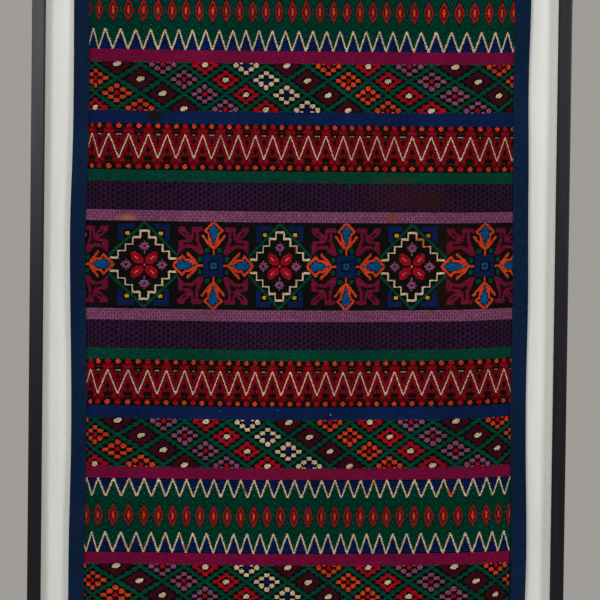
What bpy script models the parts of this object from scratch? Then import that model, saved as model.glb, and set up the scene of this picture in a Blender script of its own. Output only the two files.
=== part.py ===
"""Woven textile panel with a folded navy binding, on a pale board in a black box frame.

Metres, +Z up. The front faces -Y and the back, which lies against the wall, is at y = 0.
The origin is the middle of the top rail's back face.
"""
import math
from collections import namedtuple

import bmesh
import bpy
import numpy as np

# The frame: outer size, and the section of its moulding
FRAME_WIDTH = 0.535
FRAME_HEIGHT = 1.027
FRAME_DEPTH = 0.028
RAIL_FACE = 0.0135
LIP_THICKNESS = 0.003
REBATE_WIDTH = 0.005
OUTER_EDGE_ROUND = 0.001
INNER_EDGE_ROUND = 0.0015
ROUND_STEPS = 4

# The board behind the textile, and the spacers that stand between it and the lip
BOARD_SETBACK = 0.013
BOARD_THICKNESS = 0.006
SPACER_RECESS = 0.0005

# The textile
CLOTH_HEIGHT = 0.9484
CLOTH_HALF_WIDTH = 0.228
PANEL_THICKNESS = 0.0014
PLY = 0.001
BINDING_FRONT = 0.0155
BINDING_BACK = 0.0125
FOLD_STEPS = 4
GAP = 0.0003

# How far the textile stands uneven: the soft cockle all over it, and the reach of its curled edges
COCKLE = 0.0005
COCKLE_ACROSS = 0.26
COCKLE_DOWN = 0.31
CURL_REACH = 0.09
END_WAVE = 0.0007
END_WAVE_CRESTS = 3

# The textile's side edges, from the bottom up. up is the height above its middle, left and right are
# the edges' places across it, and the curls are how far each edge stands forward.
EdgeRow = namedtuple("EdgeRow", "up left right left_curl right_curl")
EDGE_ROWS = (
    EdgeRow(-0.474, -0.2271, 0.2284, 0.0010, 0.0010),
    EdgeRow(-0.400, -0.2277, 0.2292, 0.0030, 0.0014),
    EdgeRow(-0.321, -0.2270, 0.2307, 0.0052, 0.0024),
    EdgeRow(-0.273, -0.2274, 0.2315, 0.0044, 0.0018),
    EdgeRow(-0.225, -0.2262, 0.2301, 0.0042, 0.0012),
    EdgeRow(-0.165, -0.2258, 0.2290, 0.0032, 0.0003),
    EdgeRow(-0.105, -0.2266, 0.2285, 0.0030, 0.0003),
    EdgeRow(-0.033, -0.2280, 0.2296, 0.0046, 0.0012),
    EdgeRow(0.039, -0.2292, 0.2281, 0.0040, 0.0022),
    EdgeRow(0.120, -0.2267, 0.2278, 0.0036, 0.0008),
    EdgeRow(0.183, -0.2266, 0.2263, 0.0034, 0.0008),
    EdgeRow(0.255, -0.2273, 0.2280, 0.0015, 0.0015),
    EdgeRow(0.330, -0.2278, 0.2286, 0.0014, 0.0018),
    EdgeRow(0.400, -0.2276, 0.2290, 0.0015, 0.0014),
    EdgeRow(0.474, -0.2270, 0.2282, 0.0010, 0.0010),
)
EASING = 0.03

# How finely the textile's solids are divided
CLOTH_ROWS = 40
END_STEPS = 20
COLUMN_INSETS = (0, 0.008, 0.016, 0.028, 0.044, 0.064, 0.088, 0.116, 0.148, 0.18, 0.212)

# Places that follow from the sizes above
BACK_FACE_WIDTH = RAIL_FACE - REBATE_WIDTH
TOP_EDGE = BACK_FACE_WIDTH / 2
MIDDLE = TOP_EDGE - FRAME_HEIGHT / 2
BOARD_FACE = BOARD_SETBACK - FRAME_DEPTH
CLOTH_BACK = BOARD_FACE - GAP
CLOTH_THICKNESS = 2 * PLY + 2 * GAP + PANEL_THICKNESS
PANEL_INSET = CLOTH_THICKNESS / 2


def edge_value(up, column):
    """One column of EDGE_ROWS at a height above the textile's middle, eased from row to row."""
    heights = [row.up for row in EDGE_ROWS]
    values = [getattr(row, column) for row in EDGE_ROWS]
    eased = [np.interp(up + step * EASING, heights, values) for step in (-1, -0.5, 0, 0.5, 1)]
    return float(sum(eased)) / len(eased)


def end_wave(x):
    """How far the textile's top and bottom edges bulge at x; nothing at the corners."""
    return END_WAVE * (1 + math.cos(END_WAVE_CRESTS * math.pi * x / CLOTH_HALF_WIDTH)) / 2


def curl(inset, height):
    """How far cloth at an inset from a curled edge stands forward."""
    left_over = max(0.0, 1 - max(0.0, inset) / CURL_REACH)
    return height * left_over ** 2


def forward(x, up):
    """How far the textile stands forward of lying flat on the board."""
    across = math.sin(2 * math.pi * x / COCKLE_ACROSS + 4 * up)
    down = math.sin(2 * math.pi * up / COCKLE_DOWN + 0.8)
    cockle = COCKLE * (2 + across + down) / 4
    from_left = curl(x - edge_value(up, "left"), edge_value(up, "left_curl"))
    from_right = curl(edge_value(up, "right") - x, edge_value(up, "right_curl"))
    return cockle + from_left + from_right


def material(name, colour, roughness):
    """A plain Principled material."""
    made = bpy.data.materials.new(name)
    made.use_nodes = True
    shader = made.node_tree.nodes["Principled BSDF"]
    shader.inputs["Base Color"].default_value = (*colour, 1)
    shader.inputs["Roughness"].default_value = roughness
    shader.inputs["Metallic"].default_value = 0
    return made


def place(mesh_data, name, look, parent, location, turn=0.0):
    """Put a mesh in the scene as one named object, turned about Y."""
    mesh_data.materials.append(look)
    made = bpy.data.objects.new(name, mesh_data)
    bpy.context.collection.objects.link(made)
    made.parent = parent
    made.location = location
    made.rotation_euler = (0, turn, 0)
    return made


def finished_mesh(bm, name, smooth_angle):
    """Close the bmesh into a mesh with faces outward, round below the given angle and sharp above."""
    bmesh.ops.recalc_face_normals(bm, faces=bm.faces)
    mesh_data = bpy.data.meshes.new(name)
    bm.to_mesh(mesh_data)
    bm.free()
    mesh_data.shade_smooth()
    mesh_data.set_sharp_from_angle(angle=math.radians(smooth_angle))
    return mesh_data


def loft(loops, name, smooth_angle, folded=False):
    """A closed body through a row of like outlines, with both ends filled.

    The outline of a folded tape runs out along one face and back along the other, so that its ends
    are filled by a row of four-sided faces from face to face.
    """
    bm = bmesh.new()
    rings = [[bm.verts.new(point) for point in loop] for loop in loops]
    count = len(rings[0])
    for near, far in zip(rings, rings[1:]):
        for i in range(count):
            j = (i + 1) % count
            bm.faces.new((near[i], near[j], far[j], far[i]))
    for ring in (rings[0], rings[-1]):
        if folded:
            for i in range(count // 2 - 1):
                bm.faces.new((ring[i], ring[i + 1], ring[count - 2 - i], ring[count - 1 - i]))
        else:
            bm.faces.new(ring)
    bmesh.ops.triangulate(bm, faces=bm.faces)
    return finished_mesh(bm, name, smooth_angle)


def arc(centre, radius, start, stop, steps):
    """Points of an arc, with its angles in degrees."""
    points = []
    for i in range(steps + 1):
        angle = math.radians(start + (stop - start) * i / steps)
        points.append((centre[0] + radius * math.cos(angle), centre[1] + radius * math.sin(angle)))
    return points


def rail_section():
    """Outline of the moulding as (inset from the frame's outer edge, y)."""
    front = -FRAME_DEPTH
    outer = arc((OUTER_EDGE_ROUND, front + OUTER_EDGE_ROUND), OUTER_EDGE_ROUND, 180, 270, ROUND_STEPS)
    inner = arc(
        (RAIL_FACE - INNER_EDGE_ROUND, front + INNER_EDGE_ROUND), INNER_EDGE_ROUND, 270, 360, ROUND_STEPS
    )
    rebate = [
        (RAIL_FACE, front + LIP_THICKNESS),
        (BACK_FACE_WIDTH, front + LIP_THICKNESS),
        (BACK_FACE_WIDTH, 0),
    ]
    return [(0, 0)] + outer + inner + rebate


def spacer_section():
    """Outline of a spacer as (inset from the frame's outer edge, y)."""
    near = BACK_FACE_WIDTH + GAP
    far = RAIL_FACE - SPACER_RECESS
    front = LIP_THICKNESS - FRAME_DEPTH + GAP
    back = BOARD_FACE - GAP
    return [(near, back), (near, front), (far, front), (far, back)]


def mitred_bar(section, side_length, name, smooth_angle):
    """A straight bar with mitred ends, along X, whose inset runs down from the frame's outer edge."""
    ends = []
    for end in (-1, 1):
        ends.append([(end * (side_length / 2 - inset - GAP), y, -inset) for inset, y in section])
    return loft(ends, name, smooth_angle)


# The four sides of the frame: name, turn about Y, and the middle of the side's outer edge
FrameSide = namedtuple("FrameSide", "name turn length x z")
FRAME_SIDES = (
    FrameSide("top", 0, FRAME_WIDTH, 0, FRAME_HEIGHT / 2),
    FrameSide("right", 90, FRAME_HEIGHT, FRAME_WIDTH / 2, 0),
    FrameSide("bottom", 180, FRAME_WIDTH, 0, -FRAME_HEIGHT / 2),
    FrameSide("left", 270, FRAME_HEIGHT, -FRAME_WIDTH / 2, 0),
)


def build_frame(frame_middle):
    """Four rails and four spacers."""
    rail_look = material("black_rail", (0.016, 0.016, 0.019), 0.35)
    spacer_look = material("pale_spacer", (0.56, 0.57, 0.53), 0.75)
    for side in FRAME_SIDES:
        turn = math.radians(side.turn)
        location = (side.x, 0, side.z)
        rail = mitred_bar(rail_section(), side.length, "rail_" + side.name, 40)
        place(rail, "rail_" + side.name, rail_look, frame_middle, location, turn)
        spacer = mitred_bar(spacer_section(), side.length, "spacer_" + side.name, 40)
        place(spacer, "spacer_" + side.name, spacer_look, frame_middle, location, turn)


def build_board(frame_middle):
    """The board that fills the rebate."""
    margin = BACK_FACE_WIDTH + GAP
    size = (FRAME_WIDTH - 2 * margin, BOARD_THICKNESS, FRAME_HEIGHT - 2 * margin)
    bm = bmesh.new()
    bmesh.ops.create_cube(bm, size=1)
    bmesh.ops.scale(bm, vec=size, verts=bm.verts)
    board = finished_mesh(bm, "mount_board", 30)
    look = material("mount_board", (0.64, 0.65, 0.62), 0.9)
    place(board, "mount_board", look, frame_middle, (0, BOARD_FACE + BOARD_THICKNESS / 2, 0))


def panel_point(column, row, depth):
    """A point of the woven panel: column 0 to 1 across by COLUMN_INSETS, row 0 to CLOTH_ROWS upwards."""
    reach = 2 * row / CLOTH_ROWS - 1
    up = reach * (CLOTH_HEIGHT / 2 - PANEL_INSET)
    count = len(COLUMN_INSETS)
    if column < count:
        x = edge_value(up, "left") + PANEL_INSET + COLUMN_INSETS[column]
    else:
        x = edge_value(up, "right") - PANEL_INSET - COLUMN_INSETS[2 * count - 1 - column]
    up += reach * end_wave(x)
    return (x, CLOTH_BACK - forward(x, up) - depth, up)


def build_panel(frame_middle):
    """The woven cloth, one sheet whose edges lie inside the folded binding."""
    bm = bmesh.new()
    columns = 2 * len(COLUMN_INSETS)
    back_depth = PLY + GAP
    sheets = []
    for depth in (back_depth, back_depth + PANEL_THICKNESS):
        sheets.append(
            [
                [bm.verts.new(panel_point(column, row, depth)) for column in range(columns)]
                for row in range(CLOTH_ROWS + 1)
            ]
        )
    for sheet in sheets:
        for row in range(CLOTH_ROWS):
            for column in range(columns - 1):
                bm.faces.new(
                    (
                        sheet[row][column],
                        sheet[row][column + 1],
                        sheet[row + 1][column + 1],
                        sheet[row + 1][column],
                    )
                )
    back, front = sheets
    rims = [
        ([row[0] for row in back], [row[0] for row in front]),
        ([row[-1] for row in back], [row[-1] for row in front]),
        (back[0], front[0]),
        (back[-1], front[-1]),
    ]
    for near, far in rims:
        for i in range(len(near) - 1):
            bm.faces.new((near[i], near[i + 1], far[i + 1], far[i]))
    bmesh.ops.triangulate(bm, faces=bm.faces)
    panel = finished_mesh(bm, "woven_panel", 45)
    look = material("woven_panel", (0.075, 0.035, 0.042), 0.95)
    place(panel, "woven_panel", look, frame_middle, (0, 0, 0))


def binding_section():
    """Outline of the folded tape as (inset from its fold, depth in front of its back)."""
    fold = CLOTH_THICKNESS / 2
    outside = arc((fold, fold), fold, 270, 90, FOLD_STEPS)
    inside = arc((fold, fold), fold - PLY, 270, 90, FOLD_STEPS)
    outside = [(BINDING_BACK, 0)] + outside + [(BINDING_FRONT, CLOTH_THICKNESS)]
    inside = [(BINDING_BACK, PLY)] + inside + [(BINDING_FRONT, CLOTH_THICKNESS - PLY)]
    return outside + inside[::-1]


def side_point(side, share, inset):
    """Place of a side binding's point, mitred at both ends."""
    up = (2 * share - 1) * (CLOTH_HEIGHT / 2 - inset - GAP)
    if side == "left":
        return edge_value(up, "left") + inset, up
    return edge_value(up, "right") - inset, up


def end_point(side, share, inset):
    """Place of a top or bottom binding's point, mitred at both ends."""
    end = 1 if side == "top" else -1
    level = end * (CLOTH_HEIGHT / 2 - inset)
    low = edge_value(level, "left") + inset + GAP
    high = edge_value(level, "right") - inset - GAP
    x = low + (high - low) * share
    return x, level + end * end_wave(x)


def build_binding(side, frame_middle, look):
    """One strip of tape folded over an edge of the panel."""
    at = side_point if side in ("left", "right") else end_point
    steps = CLOTH_ROWS if side in ("left", "right") else END_STEPS
    loops = []
    for step in range(steps + 1):
        loop = []
        for inset, depth in binding_section():
            x, up = at(side, step / steps, inset)
            loop.append((x, CLOTH_BACK - forward(x, up) - depth, up))
        loops.append(loop)
    strip = loft(loops, "binding_" + side, 50, folded=True)
    place(strip, "binding_" + side, look, frame_middle, (0, 0, 0))


def build():
    """The whole object around the middle of the frame's back."""
    for old in list(bpy.data.objects):
        bpy.data.objects.remove(old, do_unlink=True)
    frame_middle = bpy.data.objects.new("frame_middle", None)
    bpy.context.collection.objects.link(frame_middle)
    frame_middle.location = (0, 0, MIDDLE)
    build_frame(frame_middle)
    build_board(frame_middle)
    build_panel(frame_middle)
    binding_look = material("navy_binding", (0.004, 0.011, 0.034), 0.9)
    for side in ("left", "right", "top", "bottom"):
        build_binding(side, frame_middle, binding_look)


build()
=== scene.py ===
"""The looks of a banded, brocaded hand-woven textile in a slim black box frame.

Metres, +Z up, the front faces -Y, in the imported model's own frame. Patterns are worked out in
millimetres, across the cloth in warp threads from its middle and down from each band's upper edge.
"""
import math
from collections import namedtuple

import bpy
import numpy as np
from mathutils import Matrix, Vector


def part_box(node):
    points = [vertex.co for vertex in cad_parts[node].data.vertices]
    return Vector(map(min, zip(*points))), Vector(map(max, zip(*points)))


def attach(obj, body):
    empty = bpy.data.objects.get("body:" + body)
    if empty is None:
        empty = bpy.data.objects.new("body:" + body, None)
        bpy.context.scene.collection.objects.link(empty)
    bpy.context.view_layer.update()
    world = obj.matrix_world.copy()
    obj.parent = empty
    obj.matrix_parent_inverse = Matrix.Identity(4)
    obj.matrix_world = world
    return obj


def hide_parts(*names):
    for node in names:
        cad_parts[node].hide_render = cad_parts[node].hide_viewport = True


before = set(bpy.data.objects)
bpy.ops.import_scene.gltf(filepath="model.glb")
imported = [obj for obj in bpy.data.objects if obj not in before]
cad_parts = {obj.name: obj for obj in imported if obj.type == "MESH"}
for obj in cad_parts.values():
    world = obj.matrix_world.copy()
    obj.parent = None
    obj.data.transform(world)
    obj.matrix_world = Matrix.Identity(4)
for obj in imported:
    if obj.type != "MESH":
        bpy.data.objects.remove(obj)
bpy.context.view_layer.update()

MM = 0.001
SEED = 11

# The textile's own sizes and places, as its solids have them
CLOTH_HEIGHT = 0.9484
CLOTH_HALF_WIDTH = 0.228
PLY = 0.001
GAP = 0.0003
PANEL_THICKNESS = 0.0014
BINDING_FRONT = 0.0155
BINDING_BACK = 0.0125
COCKLE = 0.0005
COCKLE_ACROSS = 0.26
COCKLE_DOWN = 0.31
COCKLE_SLANT = 4
COCKLE_PHASE = 0.8
CURL_REACH = 0.09
END_WAVE = 0.0007
END_WAVE_CRESTS = 3
EASING = 0.03
EASING_STEPS = (-1, -0.5, 0, 0.5, 1)
CLOTH_THICKNESS = 2 * PLY + 2 * GAP + PANEL_THICKNESS
PANEL_INSET = CLOTH_THICKNESS / 2
BOARD_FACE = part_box("mount_board")[0][1]
CLOTH_BACK = BOARD_FACE - GAP
MIDDLE = (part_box("rail_left")[0][2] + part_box("rail_left")[1][2]) / 2

# The side edges from the bottom up: height above the middle, places across, and forward curl
EdgeRow = namedtuple("EdgeRow", "up left right left_curl right_curl")
EDGE_ROWS = [EdgeRow(*row) for row in (
    (-0.474, -0.2271, 0.2284, 0.0010, 0.0010), (-0.400, -0.2277, 0.2292, 0.0030, 0.0014),
    (-0.321, -0.2270, 0.2307, 0.0052, 0.0024), (-0.273, -0.2274, 0.2315, 0.0044, 0.0018),
    (-0.225, -0.2262, 0.2301, 0.0042, 0.0012), (-0.165, -0.2258, 0.2290, 0.0032, 0.0003),
    (-0.105, -0.2266, 0.2285, 0.0030, 0.0003), (-0.033, -0.2280, 0.2296, 0.0046, 0.0012),
    (0.039, -0.2292, 0.2281, 0.0040, 0.0022), (0.120, -0.2267, 0.2278, 0.0036, 0.0008),
    (0.183, -0.2266, 0.2263, 0.0034, 0.0008), (0.255, -0.2273, 0.2280, 0.0015, 0.0015),
    (0.330, -0.2278, 0.2286, 0.0014, 0.0018), (0.400, -0.2276, 0.2290, 0.0015, 0.0014),
    (0.474, -0.2270, 0.2282, 0.0010, 0.0010),
)]

# How wide the warp threads spread at places across the cloth, in millimetres; 1 is their usual spacing
WarpRow = namedtuple("WarpRow", "place spread")
WARP_ROWS = [WarpRow(*row) for row in (
    (-240, 0.80), (-203, 0.80), (-197, 1.12), (-180, 1.17), (-150, 1.10), (-110, 1.01),
    (-85, 1.03), (-50, 0.98), (-10, 1.02), (15, 1.02), (50, 0.95), (90, 0.99), (110, 1.04),
    (130, 1.10), (165, 1.12), (180, 1.03), (197, 0.90), (215, 0.80), (240, 0.80),
)]
WARP_SAMPLES = 481

# How far a woven line rises above its level across the cloth, and how much of that each height gets
LiftRow = namedtuple("LiftRow", "x lift")
LIFT_ROWS = [LiftRow(*row) for row in (
    (-0.210, 0.0009), (-0.050, 0.0), (0.030, 0.0008), (0.090, 0.0018), (0.150, 0.0031),
    (0.180, 0.0045), (0.210, 0.0066),
)]
LiftShare = namedtuple("LiftShare", "level share")
LIFT_SHARES = [LiftShare(*row) for row in (
    (-0.455, 0.0), (-0.36, 0.9), (-0.20, 1.1), (-0.08, 1.0), (0.095, 0.23), (0.143, 0.16),
    (0.156, 0.36), (0.200, 0.22), (0.36, 0.2), (0.455, 0.0),
)]


def table_value(rows, column, place):
    """One column of a table at places along its first column."""
    return np.interp(place, [row[0] for row in rows], [getattr(row, column) for row in rows])


def edge_value(up, column):
    """One column of EDGE_ROWS at heights above the textile's middle, eased from row to row."""
    eased = [table_value(EDGE_ROWS, column, up + step * EASING) for step in EASING_STEPS]
    return sum(eased) / len(eased)


def end_wave(x):
    """How far the textile's top and bottom edges bulge at x; nothing at the corners."""
    return END_WAVE * (1 + np.cos(END_WAVE_CRESTS * math.pi * x / CLOTH_HALF_WIDTH)) / 2


def curl(inset, height):
    """How far cloth at an inset from a curled edge stands forward."""
    left_over = np.clip(1 - np.maximum(0, inset) / CURL_REACH, 0, 1)
    return height * left_over ** 2


def forward(x, up):
    """How far the textile stands forward of lying flat on the board."""
    across = np.sin(2 * math.pi * x / COCKLE_ACROSS + COCKLE_SLANT * up)
    down = np.sin(2 * math.pi * up / COCKLE_DOWN + COCKLE_PHASE)
    cockle = COCKLE * (2 + across + down) / 4
    from_left = curl(x - edge_value(up, "left"), edge_value(up, "left_curl"))
    from_right = curl(edge_value(up, "right") - x, edge_value(up, "right_curl"))
    return cockle + from_left + from_right


def line_lift(x, level):
    """How far the woven line at a level rises at x."""
    return table_value(LIFT_ROWS, "lift", x) * table_value(LIFT_SHARES, "share", level)


def at_height(x, up, depth):
    """World points of the textile at x, a height above its middle and a depth in front of its back."""
    x, up, depth = np.broadcast_arrays(x, up, depth)
    return np.stack((x, CLOTH_BACK - forward(x, up) - depth, MIDDLE + up), axis=-1)


def on_line(x, level, depth):
    """World points of the textile along a woven line."""
    return at_height(x, level + line_lift(x, level), depth)


WARP_PLACES = np.linspace(WARP_ROWS[0].place, WARP_ROWS[-1].place, WARP_SAMPLES)
WARP_SPREADS = table_value(WARP_ROWS, "spread", WARP_PLACES)
WARP_STEPS = np.diff(WARP_PLACES) * 2 / (WARP_SPREADS[1:] + WARP_SPREADS[:-1])
WARP_THREADS = np.concatenate(([0], np.cumsum(WARP_STEPS)))
WARP_THREADS -= np.interp(0, WARP_PLACES, WARP_THREADS)


def place_of(thread):
    """Place across the cloth in metres of a warp thread counted in millimetres from the middle."""
    return np.interp(thread, WARP_THREADS, WARP_PLACES) * MM


# Camera, light and floor

VIEW_DISTANCE = 1.4
VIEW_PITCH = math.radians(1.0)
VIEW_ROLL = math.radians(0.7)
LENS_MM = 84
SENSOR_MM = 36
AIM = Vector((0.00125, -0.018, MIDDLE - 0.033))

WALL_LIGHT = (0.352, 0.330, 0.309)
FLOOR_RADIUS = 0.72
FLOOR_THICKNESS = 0.02
FLOOR_GAP = 0.0005
FLOOR_SIDES = 128
FLOOR_COLOUR = (0.62, 0.60, 0.57)

Lamp = namedtuple("Lamp", "name azimuth elevation distance size watts")
LAMPS = [Lamp(*row) for row in (
    ("window_left", -28, 18, 2.1, 0.75, 16.8),
    ("window_right", 38, 16, 2.1, 0.75, 17.9),
    ("high_left", -62, 48, 2.0, 0.60, 12.0),
    ("behind_left", 205, 25, 2.2, 0.9, 14.0),
    ("behind_right", 150, 20, 2.2, 0.9, 10.0),
)]


def add_camera():
    """The camera at the photograph's place."""
    data = bpy.data.cameras.new("camera")
    data.lens = LENS_MM
    data.sensor_width = SENSOR_MM
    camera = bpy.data.objects.new("camera", data)
    bpy.context.collection.objects.link(camera)
    back = Vector((0, -math.cos(VIEW_PITCH), math.sin(VIEW_PITCH)))
    tilt = Matrix.Rotation(math.pi / 2 - VIEW_PITCH, 4, "X")
    roll = Matrix.Rotation(VIEW_ROLL, 4, "Z")
    camera.matrix_world = Matrix.Translation(AIM + VIEW_DISTANCE * back) @ tilt @ roll
    bpy.context.scene.camera = camera


def add_lights():
    """An even pale surround and soft lamps around the object."""
    world = bpy.data.worlds.new("surround")
    bpy.context.scene.world = world
    world.use_nodes = True
    world.node_tree.nodes["Background"].inputs["Color"].default_value = (*WALL_LIGHT, 1)
    for lamp in LAMPS:
        data = bpy.data.lights.new(lamp.name, "AREA")
        data.shape = "DISK"
        data.size = lamp.size
        data.energy = lamp.watts
        light = bpy.data.objects.new(lamp.name, data)
        bpy.context.collection.objects.link(light)
        azimuth, elevation = math.radians(lamp.azimuth), math.radians(lamp.elevation)
        level = math.cos(elevation)
        towards = Vector((math.sin(azimuth) * level, -math.cos(azimuth) * level, math.sin(elevation)))
        light.location = AIM + lamp.distance * towards
        light.rotation_euler = towards.to_track_quat("Z", "Y").to_euler()
        light.visible_camera = False
    bpy.context.scene.view_settings.view_transform = "Standard"


# Materials

# The part of its range that noise mostly stays in
NOISE_RANGE = (0.3, 0.7)
TAPE_COLOUR = (9, 28, 53)
THREAD_COLOUR = (9, 27, 52)
# These are scene-linear
BOARD_COLOUR = (0.657, 0.673, 0.649)
MOULDING_COLOUR = (0.0018, 0.0018, 0.0024)
MOULDING_TINT = (0.88, 0.91, 1.0)
SPACER_COLOUR = (0.60, 0.60, 0.57)
# How fine the ragged edge of a stain is, and the reach at which it starts to fade and is gone
STAIN_GRAIN = 220
STAIN_FADE = (0.8, 1.6)
TWIST_ANGLE = 0.6


def node(tree, kind, inputs=None, **settings):
    """A shader node with its settings, and its inputs linked or set."""
    made = tree.nodes.new("ShaderNode" + kind)
    for key, value in settings.items():
        setattr(made, key, value)
    for key, value in (inputs or {}).items():
        if isinstance(value, bpy.types.NodeSocket):
            tree.links.new(value, made.inputs[key])
        else:
            made.inputs[key].default_value = value
    return made


def linear(channels):
    """Scene-linear colour of a colour written as red, green and blue out of 255."""
    shares = [channel / 255 for channel in channels]
    return [s / 12.92 if s <= 0.04045 else ((s + 0.055) / 1.055) ** 2.4 for s in shares]


def start_look(name, roughness, sheen=0.0, specular=0.5):
    """A material with its Principled shader, and the object's own coordinates."""
    look = bpy.data.materials.new(name)
    look.use_nodes = True
    tree = look.node_tree
    shader = tree.nodes["Principled BSDF"]
    shader.inputs["Roughness"].default_value = roughness
    shader.inputs["Sheen Weight"].default_value = sheen
    shader.inputs["Sheen Roughness"].default_value = 0.5
    shader.inputs["Specular IOR Level"].default_value = specular
    coords = node(tree, "TexCoord").outputs["Object"]
    return look, tree, shader, coords


def noise(tree, coords, scale, detail=2.0, stretch=(1, 1, 1)):
    """Noise from 0 to 1 over the object, stretched along an axis."""
    mapping = node(tree, "Mapping", {"Vector": coords, "Scale": stretch})
    inputs = {"Vector": mapping.outputs["Vector"], "Scale": scale, "Detail": detail}
    return node(tree, "TexNoise", inputs).outputs["Fac"]


def spread(tree, value, low, high, from_low=0.0, from_high=1.0):
    """A value mapped from one range to another, kept inside it."""
    ranges = {"From Min": from_low, "From Max": from_high, "To Min": low, "To Max": high}
    return node(tree, "MapRange", {"Value": value, **ranges}).outputs["Result"]


def mottled(tree, coords, low, high, scale, detail, stretch=(1, 1, 1)):
    """Noise that uses the whole range from low to high."""
    return spread(tree, noise(tree, coords, scale, detail, stretch), low, high, *NOISE_RANGE)


def product(tree, first, second):
    """Two values multiplied."""
    return node(tree, "Math", {0: first, 1: second}, operation="MULTIPLY").outputs[0]


def cross_weave(tree, coords, warp_scale, weft_scale, distortion):
    """Crossing threads, from 0 between them to 1 where their middles cross."""
    threads = []
    for direction, scale in (("X", warp_scale), ("Z", weft_scale)):
        inputs = {"Vector": coords, "Scale": scale, "Distortion": distortion}
        threads.append(node(tree, "TexWave", inputs, bands_direction=direction).outputs["Fac"])
    return product(tree, *threads)


def shade(tree, colour, value):
    """A colour made lighter or darker by a value that varies over the surface."""
    return node(tree, "HueSaturation", {"Color": (*colour, 1), "Value": value}).outputs["Color"]


def finish_look(look, shader, colour, height, strength, distance):
    """The material with its colour, and with relief from a height that varies over it."""
    tree = look.node_tree
    tree.links.new(colour, shader.inputs["Base Color"])
    bump = node(tree, "Bump", {"Height": height, "Strength": strength, "Distance": distance})
    tree.links.new(bump.outputs["Normal"], shader.inputs["Normal"])
    return look


# Marks on the cloth: place, half sizes, how strongly they show, and their colour
Stain = namedtuple("Stain", "yarn x up half_width half_height strength colour")
STAINS = [Stain(*row) for row in (
    ("mauve", -0.1733, 0.0468, 0.0125, 0.0045, 0.8, (140, 86, 62)),
    ("mauve", 0.092, 0.05, 0.007, 0.006, 0.8, (112, 50, 24)),
    ("mauve", 0.1347, 0.055, 0.004, 0.0025, 0.6, (90, 42, 30)),
    ("mauve", 0.061, -0.0448, 0.008, 0.003, 0.45, (104, 50, 34)),
    ("mauve", 0.133, -0.0434, 0.005, 0.002, 0.5, (104, 50, 34)),
    ("mauve", 0.163, -0.044, 0.003, 0.003, 0.6, (104, 50, 34)),
    ("cream", 0.1235, 0.0268, 0.015, 0.012, 0.95, (172, 84, 30)),
    ("cream", -0.0028, 0.018, 0.003, 0.0045, 0.8, (158, 92, 40)),
    ("cream", -0.0021, -0.0145, 0.003, 0.0045, 0.6, (158, 92, 40)),
    ("cream", 0.1546, -0.2245, 0.008, 0.01, 0.95, (186, 88, 26)),
    ("cream", -0.1652, -0.2811, 0.005, 0.0085, 0.7, (146, 88, 44)),
    ("cream", -0.1681, -0.2161, 0.004, 0.005, 0.6, (160, 98, 50)),
    ("cream", 0.0772, -0.2166, 0.004, 0.0065, 0.7, (170, 100, 44)),
    ("cream", 0.0692, -0.2229, 0.004, 0.0065, 0.6, (170, 100, 44)),
    ("cream", -0.0521, -0.2234, 0.004, 0.0065, 0.8, (134, 68, 36)),
    ("cream", -0.0272, -0.2218, 0.004, 0.0065, 0.6, (160, 96, 50)),
    ("cream", -0.109, -0.2824, 0.004, 0.0065, 0.7, (150, 88, 40)),
    ("ecru", -0.0797, 0.129, 0.005, 0.009, 0.8, (150, 100, 62)),
    ("ecru", 0.0933, 0.1291, 0.004, 0.005, 0.5, (176, 110, 80)),
    ("ecru", 0.1522, -0.1062, 0.003, 0.006, 0.7, (150, 90, 50)),
    ("ecru", 0.1636, -0.124, 0.003, 0.003, 0.6, (150, 90, 50)),
    ("crimson", -0.0797, 0.127, 0.007, 0.007, 0.7, (84, 14, 34)),
    ("yellow", 0.13, 0.0331, 0.005, 0.005, 0.9, (160, 86, 24)),
    ("berry", 0.158, 0.0, 0.024, 0.06, 0.5, (98, 16, 28)),
    ("stars", 0.15, 0.0, 0.02, 0.06, 0.5, (36, 14, 10)),
    ("plum", 0.105, 0.07, 0.05, 0.016, 0.5, (46, 20, 20)),
    ("plum", 0.132, 0.066, 0.018, 0.01, 0.65, (40, 18, 14)),
    ("plum", 0.0493, 0.0812, 0.002, 0.0032, 0.9, (8, 50, 50)),
    ("green", 0.094, 0.0875, 0.024, 0.006, 0.5, (34, 42, 24)),
    ("blue", -0.1455, 0.1488, 0.0105, 0.01, 1.00, (15, 20, 23)),
    ("blue", 0.0333, -0.1476, 0.0011, 0.0011, 0.9, (130, 118, 150)),
    ("blue", -0.0193, -0.1437, 0.0009, 0.0009, 0.5, (110, 104, 140)),
    ("blue", -0.0779, -0.145, 0.0009, 0.0009, 0.5, (110, 104, 140)),
    ("magenta", 0.02, -0.206, 0.05, 0.007, 0.25, (120, 24, 40)),
)]


def stained(tree, coords, colour, yarn_name):
    """A colour with the marks that its yarn has taken up."""
    for stain in STAINS:
        if stain.yarn != yarn_name:
            continue
        place = (stain.x, 0, MIDDLE + stain.up)
        per_size = (1 / stain.half_width, 0, 1 / stain.half_height)
        centred = node(tree, "VectorMath", {0: coords, 1: place}, operation="SUBTRACT").outputs[0]
        scaled = node(tree, "VectorMath", {0: centred, 1: per_size}, operation="MULTIPLY").outputs[0]
        reach = node(tree, "VectorMath", {0: scaled}, operation="LENGTH").outputs["Value"]
        grain = noise(tree, coords, STAIN_GRAIN)
        ragged = node(tree, "Math", {0: reach, 1: grain}, operation="ADD").outputs[0]
        share = spread(tree, ragged, stain.strength, 0, *STAIN_FADE)
        inputs = {"Factor": share, "A": colour, "B": (*linear(stain.colour), 1)}
        colour = node(tree, "Mix", inputs, data_type="RGBA").outputs["Result"]
    return colour


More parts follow.
